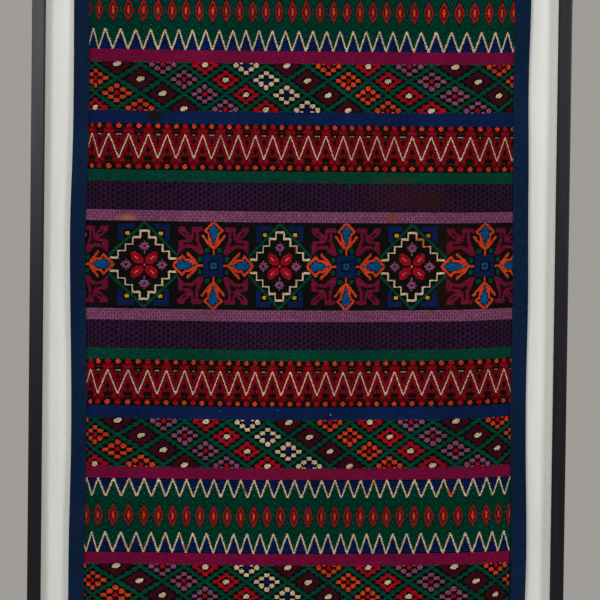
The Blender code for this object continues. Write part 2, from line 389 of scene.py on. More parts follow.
# The yarns: their colour as seen in even light, and how much one float differs from the next
Yarn = namedtuple("Yarn", "name red green blue unevenness")
YARNS = [Yarn(*row) for row in (
    ("cream", 188, 168, 140, 0.16), ("ecru", 194, 161, 138, 0.14), ("orange", 186, 58, 28, 0.18),
    ("red", 146, 8, 25, 0.22), ("crimson", 124, 6, 22, 0.26), ("deep_red", 80, 4, 14, 0.24),
    ("maroon", 56, 8, 22, 0.15), ("magenta", 104, 10, 51, 0.13), ("berry", 101, 15, 46, 0.2),
    ("mauve", 109, 62, 91, 0.2), ("heather", 122, 68, 97, 0.22), ("plum", 38, 19, 42, 0.22),
    ("green", 4, 56, 41, 0.2), ("leaf", 0, 62, 45, 0.24), ("blue", 10, 28, 68, 0.2),
    ("royal", 7, 24, 80, 0.25), ("ink", 2, 5, 30, 0.15), ("sky", 4, 73, 120, 0.24),
    ("yellow", 196, 140, 18, 0.15), ("pink", 205, 105, 110, 0.15), ("grey", 112, 122, 110, 0.3),
)]
YARN_CODES = {yarn.name: code for code, yarn in enumerate(YARNS, start=1)}


def yarn_look(yarn):
    """Dyed wool and cotton yarn: each float a little different, with fibres and a slight fuzz."""
    look, tree, shader, coords = start_look("yarn_" + yarn.name, 0.85, sheen=0.02, specular=0.02)
    island = node(tree, "NewGeometry").outputs["Random Per Island"]
    per_float = spread(tree, island, 1 - yarn.unevenness, 1 + yarn.unevenness)
    fibres = mottled(tree, coords, 0.75, 1.25, scale=1500, detail=3, stretch=(0.25, 1, 1))
    faded = mottled(tree, coords, 0.86, 1.14, scale=14, detail=3)
    value = product(tree, product(tree, per_float, fibres), faded)
    colour = shade(tree, linear((yarn.red, yarn.green, yarn.blue)), value)
    colour = stained(tree, coords, colour, yarn.name)
    turned = node(tree, "Mapping", {"Vector": coords, "Rotation": (0, TWIST_ANGLE, 0)}).outputs[0]
    twist = node(tree, "TexWave", {"Vector": turned, "Scale": 420, "Distortion": 1.5}).outputs["Fac"]
    return finish_look(look, shader, colour, twist, strength=0.35, distance=0.0001)


# The ground that shows between the floats of each kind of band
GROUND_COLOURS = {
    "stars": (12, 13, 12),
    "lozenges": (7, 10, 8),
    "zigzag": (10, 11, 8),
    "points": (0, 34, 25),
    "plum": (16, 2, 18),
    "mauve": (68, 27, 53),
    "green": (0, 34, 26),
    "blue": (3, 12, 38),
    "magenta": (62, 4, 30),
}


def ground_look(kind):
    """The plain weave under the raised yarns."""
    look, tree, shader, coords = start_look("ground_" + kind, 0.95, sheen=0.01, specular=0.02)
    threads = cross_weave(tree, coords, warp_scale=380, weft_scale=300, distortion=0.6)
    mottle = mottled(tree, coords, 0.6, 1.4, scale=420, detail=3)
    value = product(tree, spread(tree, threads, 0.75, 1.2), mottle)
    colour = shade(tree, linear(GROUND_COLOURS[kind]), value)
    colour = stained(tree, coords, colour, kind)
    return finish_look(look, shader, colour, threads, strength=0.5, distance=0.0003)


def tape_look():
    """Navy cotton tape, a close plain weave."""
    look, tree, shader, coords = start_look("navy_tape", 0.9, sheen=0.02, specular=0.03)
    threads = cross_weave(tree, coords, warp_scale=330, weft_scale=330, distortion=0.8)
    mottle = mottled(tree, coords, 0.78, 1.22, scale=260, detail=4)
    worn = mottled(tree, coords, 0.85, 1.2, scale=9, detail=3)
    value = product(tree, product(tree, spread(tree, threads, 0.85, 1.15), mottle), worn)
    colour = shade(tree, linear(TAPE_COLOUR), value)
    return finish_look(look, shader, colour, threads, strength=0.5, distance=0.0002)


def board_look():
    """Fine off-white cloth drawn over the board."""
    look, tree, shader, coords = start_look("board_cloth", 0.92, sheen=0.03, specular=0.2)
    threads = cross_weave(tree, coords, warp_scale=300, weft_scale=300, distortion=1.2)
    slubs = mottled(tree, coords, 0.97, 1.03, scale=90, detail=3, stretch=(1, 1, 0.15))
    value = product(tree, spread(tree, threads, 0.97, 1.02), slubs)
    colour = shade(tree, BOARD_COLOUR, value)
    return finish_look(look, shader, colour, threads, strength=0.3, distance=0.0001)


def moulding_look(name, grain):
    """Satin black stained wood whose grain runs along the moulding."""
    look, tree, shader, coords = start_look(name, 0.34, specular=0.31)
    shader.inputs["Specular Tint"].default_value = (*MOULDING_TINT, 1)
    streaks = noise(tree, coords, scale=260, detail=4, stretch=grain)
    colour = shade(tree, MOULDING_COLOUR, spread(tree, streaks, 0.7, 1.35, *NOISE_RANGE))
    rough = spread(tree, streaks, 0.31, 0.38, *NOISE_RANGE)
    tree.links.new(rough, shader.inputs["Roughness"])
    return finish_look(look, shader, colour, streaks, strength=0.12, distance=0.0002)


def spacer_look():
    """Matte off-white paint."""
    look, tree, shader, coords = start_look("spacer_paint", 0.8, specular=0.3)
    brushed = noise(tree, coords, scale=180, detail=3)
    colour = shade(tree, SPACER_COLOUR, spread(tree, brushed, 0.95, 1.04, *NOISE_RANGE))
    return finish_look(look, shader, colour, brushed, strength=0.1, distance=0.0002)


def floor_look():
    """Pale, slightly mottled plaster floor."""
    look, tree, shader, coords = start_look("floor", 0.8, specular=0.2)
    mottle = mottled(tree, coords, 0.97, 1.03, scale=4, detail=3)
    tree.links.new(shade(tree, FLOOR_COLOUR, mottle), shader.inputs["Base Color"])
    return look


# Mesh making


def mesh_of(name, points, faces, looks, look_codes=None, smooth=True):
    """An object from arrays of points and of faces that all have the same number of corners."""
    corners = faces.shape[1]
    data = bpy.data.meshes.new(name)
    data.vertices.add(len(points))
    data.vertices.foreach_set("co", np.asarray(points, np.float32).ravel())
    data.loops.add(faces.size)
    data.loops.foreach_set("vertex_index", faces.astype(np.int32).ravel())
    data.polygons.add(len(faces))
    data.polygons.foreach_set("loop_start", np.arange(0, faces.size, corners, dtype=np.int32))
    for look in looks:
        data.materials.append(look)
    if look_codes is not None:
        data.polygons.foreach_set("material_index", look_codes.astype(np.int32))
    data.polygons.foreach_set("use_smooth", np.full(len(faces), smooth))
    data.update(calc_edges=True)
    data.validate()
    made = bpy.data.objects.new(name, data)
    bpy.context.collection.objects.link(made)
    return made


def grid_faces(rows, columns):
    """Four-sided faces of a grid of points, numbered row by row."""
    first = (np.arange(rows - 1)[:, None] * columns + np.arange(columns - 1)).ravel()
    return np.stack((first, first + 1, first + columns + 1, first + columns), axis=1)


# Floats of yarn. Each is a low dome along the weft: its ends are points, its middle two arches.
FLOAT_FACES = np.array((
    (0, 1, 2), (0, 2, 3), (1, 4, 5), (1, 5, 2), (2, 5, 6), (2, 6, 3), (4, 7, 5), (5, 7, 6),
))
# Each point's place: end it belongs to, how far in from it, half widths across, and share of the rise
FloatPoint = namedtuple("FloatPoint", "end inward across rise")
FLOAT_POINTS = [FloatPoint(*row) for row in (
    (0, 0, 0.0, 0.25),
    (0, 1, -0.52, 0.15), (0, 1, 0.0, 1.0), (0, 1, 0.52, 0.15),
    (1, 1, -0.52, 0.15), (1, 1, 0.0, 1.0), (1, 1, 0.52, 0.15),
    (1, 0, 0.0, 0.25),
)]
SHOULDER = 0.0005
SHOULDER_SHARE = 0.22
GROUND_DEPTH = 0.0024
FLOAT_FOOT = 0.0001
MAP_MARGIN = 0.01

Floats = namedtuple("Floats", "start stop level width rise yarn")


def float_faces(count):
    """The faces of so many floats, one float after another."""
    firsts = np.arange(count)[:, None, None] * len(FLOAT_POINTS)
    return (firsts + FLOAT_FACES).reshape(-1, 3)


def planar_map(data, x, level, low, high):
    """A front-on map of a band, cut into strips that stack into a square."""
    left, right = x.min(), x.max()
    strips = max(1, round(math.sqrt((right - left) / (high - low))))
    corner_points = np.empty(len(data.loops), np.int32)
    data.loops.foreach_get("vertex_index", corner_points)
    group = len(FLOAT_POINTS)
    middle = x.reshape(-1, group).mean(axis=1).repeat(group)
    across = (x - left) / (right - left) * strips
    strip = np.clip(np.floor((middle - left) / (right - left) * strips), 0, strips - 1)
    span = 1 - 2 * MAP_MARGIN
    u = MAP_MARGIN + (across - strip) * span
    v = (strip + MAP_MARGIN + np.clip((level - low) / (high - low), 0, 1) * span) / strips
    layer = data.uv_layers.new(name="OFBake")
    places = np.stack((u, v), axis=1).astype(np.float32)
    layer.data.foreach_set("uv", places[corner_points].ravel())


def weave(name, floats, looks):
    """One mesh of raised floats that lie along the cloth's woven lines."""
    count = len(floats.start)
    length = floats.stop - floats.start
    shoulder = np.minimum(SHOULDER, SHOULDER_SHARE * length)
    x = np.empty((count, len(FLOAT_POINTS)))
    level = np.empty_like(x)
    depth = np.empty_like(x)
    for i, point in enumerate(FLOAT_POINTS):
        inward = point.inward * shoulder
        x[:, i] = floats.stop - inward if point.end else floats.start + inward
        level[:, i] = floats.level + point.across * floats.width
        depth[:, i] = GROUND_DEPTH - FLOAT_FOOT + point.rise * floats.rise
    x, level, depth = x.ravel(), level.ravel(), depth.ravel()
    used = np.unique(floats.yarn)
    codes = np.searchsorted(used, floats.yarn).repeat(len(FLOAT_FACES))
    woven_looks = [looks[code] for code in used]
    made = mesh_of(name, on_line(x, level, depth), float_faces(count), woven_looks, codes)
    planar_map(made.data, x, level, level.min(), level.max())
    return made


# How each kind of band is woven, in millimetres: its height, the pitch of its rows, the longest
# float in warp ends, and how high the yarn stands
Band = namedtuple("Band", "height row longest rise")
BANDS = {
    "stars": Band(88.0, 1.1, 8, 0.85),
    "mauve": Band(11.5, 1.44, 7, 0.5),
    "plum": Band(28.2, 1.41, 12, 0.6),
    "green": Band(11.3, 1.0, 8, 0.4),
    "zigzag": Band(46.2, 1.16, 7, 0.8),
    "blue": Band(12.7, 1.0, 8, 0.4),
    "lozenges": Band(48.7, 1.16, 8, 0.85),
    "magenta": Band(12.2, 1.0, 8, 0.4),
    "points": Band(73.6, 1.2, 8, 0.8),
}
# The pitch of the warp ends that floats are counted in, and how far the ties move on in each row
WARP_END = 0.7
TIE_CLIMB = 3
PLAIN_TIE_CLIMB = 5
TO_POINTS = ("mauve", "plum", "green", "zigzag", "blue", "lozenges", "magenta", "points")
FROM_MIDDLE = TO_POINTS + TO_POINTS[-2::-1]
# Bands whose height differs from the rest of their kind
OWN_HEIGHTS = {
    "mauve_high_1": 10.7,
    "plum_high_1": 29.0,
    "points_high_1": 78.0,
    "magenta_low_1": 11.6,
    "points_low_1": 74.1,
    "magenta_low_2": 11.6,
    "mauve_low_2": 12.2,
}
PATTERN_HALF_WIDTH = 214.5
FLOAT_END_GAP = 0.06
PLACE_JITTER = 0.07
ROW_JITTER = 0.04
WIDTH_JITTER = 0.06
RISE_JITTER = 0.14


class Chart:
    """Which yarn shows at each place of one band; code 0 is bare ground."""

    def __init__(self, name, kind):
        self.band = BANDS[kind]
        self.height = OWN_HEIGHTS.get(name, self.band.height)
        self.rows = round(self.height / self.band.row)
        self.pitch = self.height / self.rows
        ends = (-PATTERN_HALF_WIDTH, PATTERN_HALF_WIDTH)
        first, last = np.interp(ends, WARP_PLACES, WARP_THREADS)
        self.threads = np.arange(first, last, WARP_END)
        down = (np.arange(self.rows) + 0.5) * self.pitch
        shifts = PATTERN_SHIFTS.get(name, NO_SHIFT)
        moved = self.threads - np.interp(self.threads, SHIFT_PLACES, shifts)
        self.across, self.down = np.meshgrid(moved, down)
        self.yarn = np.zeros(self.across.shape, int)
        self.cuts = np.zeros(self.across.shape, bool)

    def paint(self, where, yarn):
        """Lay a yarn wherever the mask holds."""
        self.yarn[where] = YARN_CODES[yarn] if yarn else 0

    def cut(self, step, offsets):
        """Tie the floats down every few warp ends, from an offset for each row."""
        columns = np.arange(self.across.shape[1])
        self.cuts |= (columns[None, :] + np.asarray(offsets)[:, None]) % step == 0

    def tie(self, climb=TIE_CLIMB):
        """Tie the floats down at their longest, so many ends further along in each next row."""
        self.cut(self.band.longest, np.arange(self.rows) * climb % self.band.longest)

    def floats(self, top, rng):
        """The runs of one yarn between cuts, as places on the cloth below the band's upper edge."""
        starts = self.cuts.copy()
        starts[:, 0] = True
        starts[:, 1:] |= self.yarn[:, 1:] != self.yarn[:, :-1]
        first = np.flatnonzero(starts)
        after = np.append(first[1:], starts.size)
        rows, columns = np.divmod(first, starts.shape[1])
        counts = after - first
        kept = self.yarn.ravel()[first] > 0
        first, rows, columns, counts = first[kept], rows[kept], columns[kept], counts[kept]
        number = len(first)
        start = self.threads[columns] - WARP_END / 2 + FLOAT_END_GAP
        stop = start + counts * WARP_END - 2 * FLOAT_END_GAP
        start += rng.normal(0, PLACE_JITTER, number)
        stop += rng.normal(0, PLACE_JITTER, number)
        level = top / MM - self.down[rows, 0] + rng.normal(0, ROW_JITTER, number)
        return Floats(
            place_of(start),
            place_of(stop),
            level * MM,
            self.pitch * MM * (1 + rng.normal(0, WIDTH_JITTER, number)),
            self.band.rise * MM * (1 + rng.normal(0, RISE_JITTER, number)),
            self.yarn.ravel()[first],
        )


def wrapped(values, repeat):
    """Distance to the nearest of evenly repeated places, with its sign."""
    return (values + repeat / 2) % repeat - repeat / 2


def ramp(values, repeat):
    """A zigzag from 0 at each repeat to 1 midway between repeats."""
    return np.abs(wrapped(values, repeat)) * 2 / repeat


def lozenge(x, y, half_width, half_height):
    """How far out a point lies in a lozenge; 1 is its edge."""
    return np.abs(x) / half_width + np.abs(y) / half_height


def oval(x, y, half_width, half_height, fullness=2.0):
    """How far out a point lies in an oval, or with more fullness a rounded box; 1 is its edge."""
    return np.abs(x / half_width) ** fullness + np.abs(y / half_height) ** fullness


# A straight stroke of yarn from one point to another, in millimetres from a motif's middle
Stroke = namedtuple("Stroke", "yarn x0 y0 x1 y1 width")


def covered(x, y, stroke):
    """Where a stroke covers the points x, y."""
    run, rise = stroke.x1 - stroke.x0, stroke.y1 - stroke.y0
    along = ((x - stroke.x0) * run + (y - stroke.y0) * rise) / (run ** 2 + rise ** 2)
    along = np.clip(along, 0, 1)
    gap = np.hypot(x - stroke.x0 - along * run, y - stroke.y0 - along * rise)
    return gap <= stroke.width / 2


# The lozenge band: rows of lozenges in a stepped net, one colour to each diagonal. All of it is
# drawn in cells, eight across and eight down to a lozenge.
LOZENGE_REPEAT = 41.1
LOZENGE_FIRST = -177.8
LOZENGE_ROW = 14.6
CELL_ACROSS = LOZENGE_REPEAT / 8
CELL_DOWN = LOZENGE_ROW / 4
CELL_HALF_WIDTH = 2.75
CELL_HALF_HEIGHT = 2.05
CELL_FULLNESS = 3
NET_RING = 4
NET_EDGE = 0.885
FLOWER_RING = 2
RED_RING = (0.74, 1.16)
NET_OUTER = 1.001
LOZENGE_ROWS = 4
# Colour of each diagonal from the left, starting three before the first whole lozenge
DIAGONALS = (
    "maroon", "red", "orange", "maroon", "heather", "red", "cream",
    "maroon", "orange", "red", "heather", "maroon", "orange", "red",
)
DIAGONALS_BEFORE = 3

# What fills a lozenge of each colour, laid in this order: shapes, some leaning, around its middle
Filling = namedtuple("Filling", "colour shape half_width half_height lean yarn")
FILLINGS = [Filling(*row) for row in (
    ("maroon", lozenge, 13.0, 10.9, 0, "maroon"),
    ("maroon", oval, 5.4, 3.5, 0, None),
    ("maroon", oval, 3.8, 2.3, 0.2, "cream"),
    ("red", oval, 3.4, 2.3, 0.1, "cream"),
    ("cream", lozenge, 3.6, 3.4, 0, "royal"),
    ("heather", oval, 2.5, 2.2, 0, "red"),
    ("orange", oval, 2.5, 2.2, 0, "red"),
)]


def paint_ring(chart, x, y, ring, yarn):
    """A stepped lozenge of cells around a middle."""
    for across in range(-ring, ring + 1):
        for down in {ring - abs(across), abs(across) - ring}:
            cell_x, cell_y = x - across * CELL_ACROSS, y - down * CELL_DOWN
            cell = oval(cell_x, cell_y, CELL_HALF_WIDTH, CELL_HALF_HEIGHT, CELL_FULLNESS)
            chart.paint(cell < 1, yarn)


def paint_flower(chart, x, y, colour):
    """One lozenge's filling around its middle."""
    if colour != "maroon":
        paint_ring(chart, x, y, FLOWER_RING, colour)
    if colour == "red":
        reach = lozenge(x, y, 2 * CELL_ACROSS, 2 * CELL_DOWN)
        chart.paint((reach > RED_RING[0]) & (reach < RED_RING[1]), "red")
    for part in FILLINGS:
        if part.colour == colour:
            reach = part.shape(x, y + part.lean * x, part.half_width, part.half_height)
            chart.paint(reach < 1, part.yarn)


def paint_lozenges(chart):
    """Four rows of lozenges, alternate rows half a repeat along."""
    middle = chart.height / 2
    for row in range(LOZENGE_ROWS):
        y = chart.down - middle - (row - (LOZENGE_ROWS - 1) / 2) * LOZENGE_ROW
        for count in range(1 - DIAGONALS_BEFORE, len(DIAGONALS) - DIAGONALS_BEFORE):
            x = chart.across - LOZENGE_FIRST - (count + 0.5 * (row % 2)) * LOZENGE_REPEAT
            inside = lozenge(x, y, LOZENGE_REPEAT / 2, LOZENGE_ROW)
            chart.paint((inside > NET_EDGE) & (inside <= NET_OUTER), "leaf")
            paint_ring(chart, x, y, NET_RING, "leaf")
            paint_flower(chart, x, y, DIAGONALS[count + DIAGONALS_BEFORE - row // 2])
    chart.tie()


# The zigzag band: an ecru zigzag on red between rows of dots
ZIGZAG_REPEAT = 17.5
ZIGZAG_FIRST = -202.6
ZIGZAG_TOP = 10.2
ZIGZAG_BOTTOM = 34.75
ZIGZAG_THREAD = 2.2
ZIGZAG_OUTLINE = 2.2
CHEVRON_STEP = 8.2
CHEVRON_GAP = 1.9


# Where the red, its chevrons and its outline end, and where the bare rows at the edges do
RED_TOP = 9.0
RED_BOTTOM = 35.2
CHEVRON_TOP = 12
OUTLINE_BOTTOM = 38.0
ZIGZAG_MARGIN = 0.3
EDGE_ROW_TOP = 4.7
EDGE_ROW_BOTTOM = 39.9
PAIR_APART = 2.9
# The grey flecks: place down, half height, half width and how that varies from one to the next
FLECK_DOWN = 10.9
FLECK_HALF_HEIGHT = 0.5
FLECK_HALF_WIDTH = 1.9
FLECK_VARIES = 0.8
FLECK_TURN = 2.3

# Spots under the zigzag's peaks or valleys, or in pairs beside its valleys
Spot = namedtuple("Spot", "yarn under down half_width half_height fullness")
SPOTS_IN_RED = [Spot(*row) for row in (
    (None, "valley", 17.2, 1.4, 2.5, 2.0), (None, "peak", 26.8, 1.7, 2.7, 2.0),
)]
SPOTS_ABOVE = [Spot(*row) for row in (
    ("crimson", "peak", 7.4, 4.7, 1.9, 3), (None, "valley", 8.6, 3.8, 3.9, 3),
    ("deep_red", "valley", 7.4, 3.2, 0.6, 2.0),
)]
SPOTS_BELOW = [Spot(*row) for row in (
    (None, "peak", 34.9, 4.2, 2.6, 2.5), (None, "peak", 38.9, 3.4, 1.1, 3),
    ("crimson", "pair", 36.4, 2.4, 2.0, 3),
)]
EDGE_DOTS = [Spot(*row) for row in (
    ("orange", "valley", 2.4, 2.5, 2.0, 2.3), ("red", "peak", 2.4, 2.8, 2.1, 2.3),
    ("orange", "peak", 42.8, 2.6, 2.0, 2.3), ("red", "valley", 42.8, 2.8, 2.1, 2.3),
)]


def paint_zigzag(chart):
    """The red band, from its upper row of dots to its lower one."""
    paint, down = chart.paint, chart.down
    along = chart.across - ZIGZAG_FIRST
    valley = wrapped(along - ZIGZAG_REPEAT / 2, ZIGZAG_REPEAT)
    places = {
        "peak": wrapped(along, ZIGZAG_REPEAT),
        "valley": valley,
        "pair": np.abs(valley) - PAIR_APART,
    }

    def paint_spots(spots):
        for spot in spots:
            reach = oval(
                places[spot.under], down - spot.down,
                spot.half_width, spot.half_height, spot.fullness,
            )
            paint(reach < 1, spot.yarn)

    line = ZIGZAG_TOP + (ZIGZAG_BOTTOM - ZIGZAG_TOP) * ramp(along, ZIGZAG_REPEAT)
    past = np.abs(down - line) - ZIGZAG_THREAD
    paint((down > RED_TOP) & (down < RED_BOTTOM), "crimson")
    chevrons = (past > ZIGZAG_OUTLINE) & (past % CHEVRON_STEP < CHEVRON_GAP)
    paint(chevrons & (down > CHEVRON_TOP) & (down < RED_BOTTOM), "deep_red")
    paint((past < ZIGZAG_OUTLINE) & (down < OUTLINE_BOTTOM), "deep_red")
    paint_spots(SPOTS_IN_RED)
    paint(past < 0, "ecru")
    paint(down < ZIGZAG_TOP - ZIGZAG_MARGIN, "deep_red")
    paint_spots(SPOTS_ABOVE)
    number = np.round(along / ZIGZAG_REPEAT - 0.5)
    fleck = FLECK_HALF_WIDTH + FLECK_VARIES * np.sin(FLECK_TURN * number)
    paint(oval(valley, down - FLECK_DOWN, fleck, FLECK_HALF_HEIGHT) < 1, "grey")
    paint(down > ZIGZAG_BOTTOM + ZIGZAG_MARGIN, "deep_red")
    paint_spots(SPOTS_BELOW)
    paint((down <= EDGE_ROW_TOP) | (down >= EDGE_ROW_BOTTOM), None)
    paint_spots(EDGE_DOTS)
    chart.tie()


# The band of points: blue triangles, cream zigzags, and a row of red lozenges on green
POINTS_REPEAT = 13.42
POINTS_FIRST = -189.8
POINTS_OUTER = 1.2
POINTS_UPPER = 17.2
POINTS_LOWER = 19.0
POINTS_BLUNT = 0.45
POINTS_THREAD = 1.8
POINTS_MARGIN = 2.3
POINTS_EDGE = 1.3
POINTS_HEM = 0.6
POINTS_CHEVRON = 6.4
POINTS_CHEVRON_GAP = 2.4
# The blue stripes in a point, each from one distance to another inside its margin
POINTS_STRIPES = ((2.0, 7.2), (9.0, math.inf))
# The red lozenges: half width, half height and fullness, and how far out each ring of them ends
EYE = (4.6, 10.9, 1.25)
EYE_MIDDLE = (1.6, 4.4, 1.6)
EYE_RINGS = ((None, 1.22), ("red", 1), ("maroon", 0.58))
EYE_TIP = 3.6


def paint_points(chart):
    """The green band, its points facing its row of lozenges from above and below."""
    paint = chart.paint
    x = np.abs(wrapped(chart.across - POINTS_FIRST, POINTS_REPEAT))
    inward = np.minimum(chart.down, chart.height - chart.down)
    corners = (0, POINTS_BLUNT, POINTS_REPEAT / 2 - POINTS_BLUNT, POINTS_REPEAT / 2)
    paint(inward > 0, "leaf")
    upper = chart.down < chart.height / 2
    for here, inner in ((upper, POINTS_UPPER), (~upper, POINTS_LOWER)):
        heights = (POINTS_OUTER, POINTS_OUTER, inner, inner)
        line = np.interp(x, corners, heights)
        past = inward - line - POINTS_MARGIN
        paint(here & (past > 0) & (past % POINTS_CHEVRON < POINTS_CHEVRON_GAP), None)
        paint(here & (past > 0) & (past < POINTS_EDGE), None)
        paint(here & (inward < line), "ink")
        within = line - inward - POINTS_MARGIN
        for near, far in POINTS_STRIPES:
            paint(here & (within > near) & (within < far) & (inward > POINTS_HEM), "royal")
        for part in range(3):
            ends = (corners[part], heights[part], corners[part + 1], heights[part + 1])
            paint(here & covered(x, inward, Stroke("cream", *ends, POINTS_THREAD)), "cream")
    y = np.abs(chart.down - chart.height / 2)
    reach = oval(x, y, *EYE)
    for yarn, edge in EYE_RINGS:
        paint(reach < edge, yarn)
    paint((reach < EYE_RINGS[-1][1]) & (y > EYE_TIP), None)
    paint(oval(x, y, *EYE_MIDDLE) < 1, "orange")
    chart.tie()


# The band of stars: stepped diamonds and crosses of four tulips by turns
STARS_REPEAT = 132.4
DIAMOND_AT = -19.2
CROSS_AT = 46.9
STAIR_TOP = 34.2
STAIR_DROP = 6.85
STAIR_FIRST = 3.9
STAIR_RUN = 6.35
STAIRS = 5
STAIR_WIDTH = 1.7

# The cross's upright tulip and its butterfly, drawn once and repeated about its middle
TULIP = [Stroke("orange", *row) for row in (
    (0, 11, 0, 18.5, 2.1), (1.0, 18.4, 5.4, 22.8, 3.2), (5.4, 22.8, 9.8, 28.4, 2.5),
    (9.6, 28.9, 10.8, 29.5, 2.5), (2.4, 21.0, 3.4, 26.0, 3.2), (4.4, 24.0, 4.7, 32.0, 2.1),
    (5.0, 32.2, 8.4, 34.6, 2.3), (8.4, 35.0, 1.6, 42.0, 2.4), (0, 42.4, 2.6, 42.4, 1.8),
    (0, 42.0, 0, 44.2, 1.8),
)]
BUTTERFLY = [Stroke("berry", *row) for row in (
    (23.4, 27.8, 31.4, 34.6, 6.2), (29.8, 36.0, 33.0, 36.0, 5.0), (12.6, 36.0, 19.8, 36.0, 4.6),
    (20.0, 34.5, 21.2, 26.4, 3.0), (16.2, 34.5, 16.0, 26.0, 3.2), (32.2, 16.8, 32.2, 22.6, 5.2),
    (33.4, 16.0, 33.8, 13.2, 2.6), (31.0, 24.0, 23.0, 24.8, 3.0), (30.5, 18.4, 21.0, 19.4, 3.2),
    (16.2, 26.0, 11.4, 13.4, 3.8), (21.0, 19.4, 12.8, 12.6, 4.2), (15.2, 17.4, 11.8, 13.0, 5.0),
)]
BUTTERFLY_GAPS = [Stroke(None, 26.6, 30.4, 29.6, 32.8, 1.6), Stroke(None, 17.4, 22.6, 18.6, 20.6, 1.6)]
BLOSSOM = [Stroke("heather", *row) for row in (
    (0, 0, 0, 4.9, 1.7), (0, 0, 4.3, 0, 1.7), (1.0, 1.1, 2.3, 2.5, 2.3),
)]
# How far out a sideways tulip's parts stand, and where they stand on the upright one
SIDEWAYS_REACH = (0, 15.5, 24.7, 31.0, 40.2)
UPRIGHT_REACH = (0, 17.8, 29, 35, 44.2)
OUT_OF_REACH = 99
SIDEWAYS_SPREAD = 1.1

# A straight-sided block in a motif's quarter; one that takes in the motif's middle line starts at -1
Block = namedtuple("Block", "yarn left right low high")
CROSS_CORNER = Block("berry", -1, 35.2, -1, 38.4)
TULIP_HEART = [Block("sky", -1, *row) for row in (
    (1.0, 21, 28), (3.0, 27, 34), (4.5, 33.4, 37.8), (2.2, 37, 40),
)]
CROSS_MIDDLE = [Block(*row) for row in (
    ("blue", -1, 9.9, -1, 10.6), (None, -1, 4.7, -1, 5.2), ("sky", -1, 3.3, -1, 3.7),
    (None, -1, 0.9, -1, 1.0),
)]
DIAMOND_CORNER = Block("blue", 8.4, 23.4, 24, 41)
PETAL_REACH = Block("red", 0.9, 11.8, 0.9, 13.6)
PETAL_VEIN = Block("pink", 7.5, 12.5, -0.6, 0.6)
STEM = Block("heather", -1, 0.8, 11.2, 14.5)

# Rounded parts: how far they stand to the side and out, half width, half height and fullness
Part = namedtuple("Part", "yarn side out half_width half_height fullness")
LEAF = Part("leaf", 5.9, 15.3, 2.6, 2.5, 2)
CORNER_DOT = Part("yellow", 15.0, 31.4, 2.1, 2.1, 3)
PETAL = Part("red", 9.5, 0, 7.3, 4.6, 2.1)
BEAD = Part("pink", 0, 0, 1.0, 1.0, 2)
BLOSSOM_EYE = Part(None, 0, 0, 1.0, 1.1, 2)
BLOSSOM_SIZE = (4.0, 4.5)
BLOSSOM_PLACES = ((0, 18.9), (16.2, 0))
# The green diamond's side, and how the blue corner blocks keep clear of it and are notched
DIAMOND_SIDE = Stroke("leaf", 0, 42.4, 30.5, 9.8, 2.6)
CORNER_REACH = 43
CORNER_SLOPE = 1.1
CORNER_CLEAR = 2.6
NOTCH_SIDE = 18.4
NOTCH_OUT = 35


def in_block(x, y, block):
    """Where a block covers the points x, y."""
    return (x > block.left) & (x < block.right) & (y > block.low) & (y < block.high)


def in_part(x, y, part):
    """Where a rounded part covers the points x, y."""
    sizes = (part.half_width, part.half_height, part.fullness)
    return oval(x - part.side, y - part.out, *sizes) < 1


def paint_all(chart, x, y, parts, covers):
    """Lay a motif's parts one over another; covers tells where each of them lies."""
    for part in parts:
        chart.paint(covers(x, y, part), part.yarn)


def paint_cross(chart, x, y):
    """A square with four tulips, leaves between them and a butterfly in each corner."""
    across, down = np.abs(x), np.abs(y)
    corner = in_block(across, down, CROSS_CORNER)
    for stroke in BUTTERFLY + BUTTERFLY_GAPS:
        chart.paint(covered(across, down, stroke) & corner, stroke.yarn)
    sideways = across > down
    turned = np.interp(across, SIDEWAYS_REACH, UPRIGHT_REACH, right=OUT_OF_REACH)
    out = np.where(sideways, turned, down)
    side = np.where(sideways, down / SIDEWAYS_SPREAD, across)
    paint_all(chart, side, out, TULIP, covered)
    paint_all(chart, side, out, TULIP_HEART, in_block)
    paint_all(chart, side, out, [LEAF], in_part)
    paint_all(chart, across, down, CROSS_MIDDLE, in_block)


def paint_diamond(chart, x, y):
    """A stepped diamond in a green one, with four petals and four small blossoms."""
    across, down = np.abs(x), np.abs(y)
    outside = down > CORNER_REACH - across * CORNER_SLOPE + CORNER_CLEAR
    notched = (across > NOTCH_SIDE) | (down > NOTCH_OUT)
    chart.paint(in_block(across, down, DIAMOND_CORNER) & outside & notched, "blue")
    paint_all(chart, across, down, [CORNER_DOT], in_part)
    stairs = [DIAMOND_SIDE]
    for step in range(STAIRS):
        level = STAIR_TOP - step * STAIR_DROP
        inner = STAIR_FIRST + (step - 1) * STAIR_RUN if step else 0
        outer = STAIR_FIRST + step * STAIR_RUN
        stairs.append(Stroke("cream", inner, level, outer, level, STAIR_WIDTH))
        if step + 1 < STAIRS:
            stairs.append(Stroke("cream", outer, level, outer, level - STAIR_DROP, STAIR_WIDTH))
    paint_all(chart, across, down, stairs, covered)
    along, aside = (across + down) / math.sqrt(2), (across - down) / math.sqrt(2)
    petal = in_part(along, aside, PETAL) & in_block(across, down, PETAL_REACH)
    chart.paint(petal, PETAL.yarn)
    paint_all(chart, along, aside, [PETAL_VEIN], in_block)
    paint_all(chart, x, y, [BEAD], in_part)
    for middle_x, middle_y in BLOSSOM_PLACES:
        from_x, from_y = across - middle_x, down - middle_y
        chart.paint(lozenge(from_x, from_y, *BLOSSOM_SIZE) < 1, "heather")
        paint_all(chart, np.abs(from_x), np.abs(from_y), BLOSSOM, covered)
        paint_all(chart, from_x, from_y, [BLOSSOM_EYE], in_part)
    paint_all(chart, across, down, [STEM], in_block)


